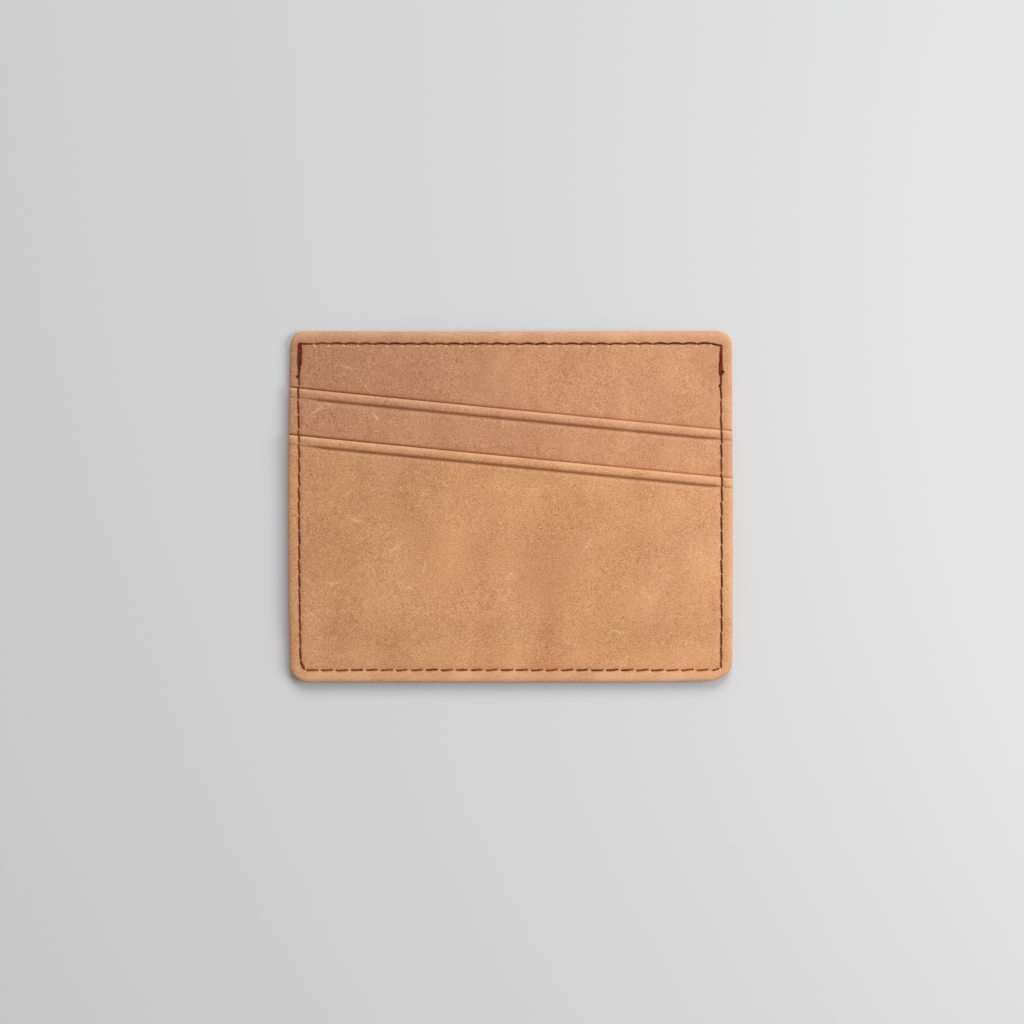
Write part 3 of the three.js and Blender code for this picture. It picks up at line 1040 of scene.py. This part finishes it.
# the top seam, then the side and bottom seam, both started at their own first hole
topPlaces = np.arange(topSeamRow["start"], sideSeam - 2.0, topSeamRow["pitch"])
topStitches = rowOfStitches(topPlaces, topSeam, topSeamRow)
straight = dict(topSeamRow, bow=0.0, slant=0.0)
topStitches.append(((-sideSeam + 0.1, topSeam), (topPlaces[0] - 0.3, topSeam - 0.05), straight))
topStitches.append(((topPlaces[-1], topSeam - 0.05), (sideSeam - 0.1, topSeam - 0.45), straight))
threadPiece("front_top_stitches", topStitches, holderTop, shadedThread, ["front_top_needle_thread"], 1, 21)

sidePlaces = sideSeamRow["start"] - sideSeamRow["pitch"] * np.arange(21)
bottomPlaces = np.arange(bottomSeamRow["start"], sideSeam - 2.0, bottomSeamRow["pitch"])
sideStitches = rowOfStitches(sidePlaces, sideSeam, sideSeamRow, alongX=False)
for a, b in zip(sidePlaces[:-1], sidePlaces[1:]):
    deep = a > leftSeam["deepFrom"]  # the first ones are painted darker, as shade
    row = dict(sideSeamRow, sunkShade=leftSeam["deepShade"]) if deep else sideSeamRow
    sideStitches.append(((-sideSeam - leftLean(a), a), (-sideSeam - leftLean(b), b), row))
sideStitches += rowOfStitches(bottomPlaces, bottomSeam, bottomSeamRow)
sideStitches.append(((-sideSeam, sidePlaces[-1]), (bottomPlaces[0], bottomSeam), sideSeamRow))
rightCorner = (sideSeam, bottomSeam + 0.25)
sideStitches.append(((bottomPlaces[-1], bottomSeam), rightCorner, bottomSeamRow))
sideStitches.append(((sideSeam, sidePlaces[-1]), rightCorner, sideSeamRow))
threadPiece("side_and_bottom_stitches", sideStitches, holderTop, brownThread,
            ["side_seam_needle_thread"], 1, 22)

tackRow = {"gap": -0.1, "slant": 0.03, "bow": 0.0, "radius": 0.235, "proud": 0.08, "uneven": 0.6}
# strands from x, y to x, y, counted from the top seam's end on that side, and how dark each is painted as
# shade
backtacks = {
    "left_backtack": (-sideSeam, [
        (-0.46, 0.1, -0.5, -2.9, 0.7), (-0.1, 0.2, 0.08, -2.6, 0.5), (-0.48, -2.4, -0.46, -5.3, 0.75),
        (0.06, -2.2, -0.05, -4.9, 0.55), (-0.2, -1.2, -0.24, -4.0, 0.45), (-0.28, -4.8, -0.34, -7.5, 0.7),
        (-0.16, -4.4, -0.26, -6.4, 0.55), (-0.3, -7.2, -0.85, -7.7, 0.7)]),
    "right_backtack": (sideSeam, [
        (0.12, -0.3, 0.04, -2.3, 0.5), (-0.14, -1.8, -0.14, -4.7, 0.65), (0.14, -1.9, 0.1, -4.6, 0.5),
        (-0.28, -4.2, -0.26, -6.5, 0.1), (0.2, -4.1, 0.24, -6.4, 0.0), (-0.02, -4.5, 0.0, -6.7, 0.15),
        (-0.5, -6.1, 0.34, -7.1, 0.5), (-0.45, -7.1, 0.72, -6.4, 0.55), (-0.4, -6.6, 0.4, -6.8, 0.2),
        (-0.42, -9.35, -0.16, -9.85, 0.7), (-0.4, -9.8, -0.16, -9.4, 0.7)]),
}
for name, (x, strands) in backtacks.items():
    tack = []
    for x1, y1, x2, y2, depth in strands:
        tack.append(((x + x1, topSeam + y1), (x + x2, topSeam + y2), dict(tackRow, sunkShade=depth)))
    threadPiece(name, tack, holderTop, darkThread, [], 1, 31)

backRow = {
    "pitch": 3.4, "gap": 0.6, "slant": 0.05, "bow": 0.0, "radius": 0.1, "proud": -0.04,
    "uneven": 0.5, "sunkShade": 0.0,
}
insideRow = dict(backRow, pitch=3.36, slant=0.03, proud=0.0)
hidden = {"inBack": 0.12, "inBase": 0.17}  # how deep the back's threads and the base seam's lie


def backSurface(x, y):
    return hidden["inBack"] + 0 * x


def baseSurface(x, y):
    return underLower(x, y) - hidden["inBase"]


backSides = np.arange(topSeam, bottomSeam, -backRow["pitch"])
backStitches = rowOfStitches(backSides, -sideSeam, backRow, alongX=False)
backStitches += rowOfStitches(backSides, sideSeam, backRow, alongX=False)
backStitches += rowOfStitches(np.arange(-sideSeam, sideSeam, backRow["pitch"]), bottomSeam, backRow)
threadPiece("back_seam_stitches", backStitches, backSurface, brownThread,
            ["side_seam_bobbin_thread"], -1, 23)

backTop = rowOfStitches(np.arange(-sideSeam + 1, sideSeam, backRow["pitch"]), topSeam, backRow)
insidePlaces = np.arange(-sideSeam + 1, sideSeam - 1, insideRow["pitch"])
insideTop = rowOfStitches(insidePlaces, topSeam, insideRow)
insideBase = rowOfStitches(insidePlaces, baseSeam, insideRow)
straightSeams = [  # name, node, stitches, the face they lie on, and 1 above or -1 below it
    ("back_top_stitches", "back_top_needle_thread", backTop, backSurface, -1),
    ("back_top_inside_stitches", "back_top_bobbin_thread", insideTop, liningTop, 1),
    ("front_top_inside_stitches", "front_top_bobbin_thread", insideTop, frontInside, -1),
    ("pocket_base_inside_stitches", "pocket_base_bobbin_thread", insideBase, frontInside, -1),
    ("pocket_base_stitches", "pocket_base_needle_thread", insideBase, baseSurface, 1),
]
for seed, (name, node, stitches, surface, side) in enumerate(straightSeams, 24):
    threadPiece(name, stitches, surface, brownThread, [node], side, seed)
print("seams sewn")

studio = {
    "floorSize": 6.0,
    "floor": 0.78,
    "worldStrength": 0.27,
    "sidePower": 1.28,
    "sidePlace": (0.37, 0.0, 0.38),
    "sideSize": 0.36,
    "farPower": 29.5,
    "farPlace": (0.3, 1.8, 1.55),
    "farSize": 1.5,
    "cameraHeight": 0.72,
    "viewWidth": 0.2337,  # how wide the view is on the surface that the holder lies on
    "cameraShift": (0.00034, -0.00114),
}


def makeFloor():
    half = studio["floorSize"] / 2
    low = backLow[2] * mm - 0.00003
    corners = [(-half, -half, low), (half, -half, low), (half, half, low), (-half, half, low)]
    mesh = bpy.data.meshes.new("floor")
    mesh.from_pydata(corners, [], [(0, 1, 2, 3)])
    floor = bpy.data.objects.new("floor", mesh)
    bpy.context.scene.collection.objects.link(floor)
    material, shade = newMaterial("pale floor")
    grey = studio["floor"]
    finishMaterial(shade, (grey, grey, grey * 1.01, 1), 0.8, None, Specular_IOR_Level=0.1)
    mesh.materials.append(material)


def makeLight(name, place, size, power):
    lamp = bpy.data.lights.new(name, "AREA")
    lamp.shape = "DISK"
    lamp.size = size
    lamp.energy = power
    light = bpy.data.objects.new(name, lamp)
    light.location = place
    aim = -light.location
    light.rotation_euler = aim.to_track_quat("-Z", "Y").to_euler()
    bpy.context.scene.collection.objects.link(light)


def makeWorld():
    world = bpy.data.worlds.new("soft studio")
    world.use_nodes = True
    background = world.node_tree.nodes["Background"]
    background.inputs["Color"].default_value = (1, 1, 1, 1)
    background.inputs["Strength"].default_value = studio["worldStrength"]
    bpy.context.scene.world = world


def makeCamera():
    lens = bpy.data.cameras.new("camera")
    lens.lens = lens.sensor_width * studio["cameraHeight"] / studio["viewWidth"]
    lens.clip_start = 0.01
    lens.clip_end = 50
    camera = bpy.data.objects.new("camera", lens)
    camera.location = (*studio["cameraShift"], studio["cameraHeight"])
    bpy.context.scene.collection.objects.link(camera)
    bpy.context.scene.camera = camera


makeFloor()
makeLight("near light", studio["sidePlace"], studio["sideSize"], studio["sidePower"])
makeLight("far light", studio["farPlace"], studio["farSize"], studio["farPower"])
makeWorld()
makeCamera()
bpy.context.scene.view_settings.view_transform = "Standard"
print("studio set")

# what each sheet was cut to
cutSize = (2 * halfWidth * mm, 2 * halfHeight * mm)
slantHeight = cutFall * halfWidth * mm  # a slanted mouth reaches this much above its middle
upperCut = (upperMouth - upperBottom + hem["turnInWidth"]) * mm
lowerCut = (lowerMouth + halfHeight + hem["turnInWidth"]) * mm
upperCut + slantHeight
cutSize[0] * upperCut
lowerCut + slantHeight
cutSize[0] * lowerCut
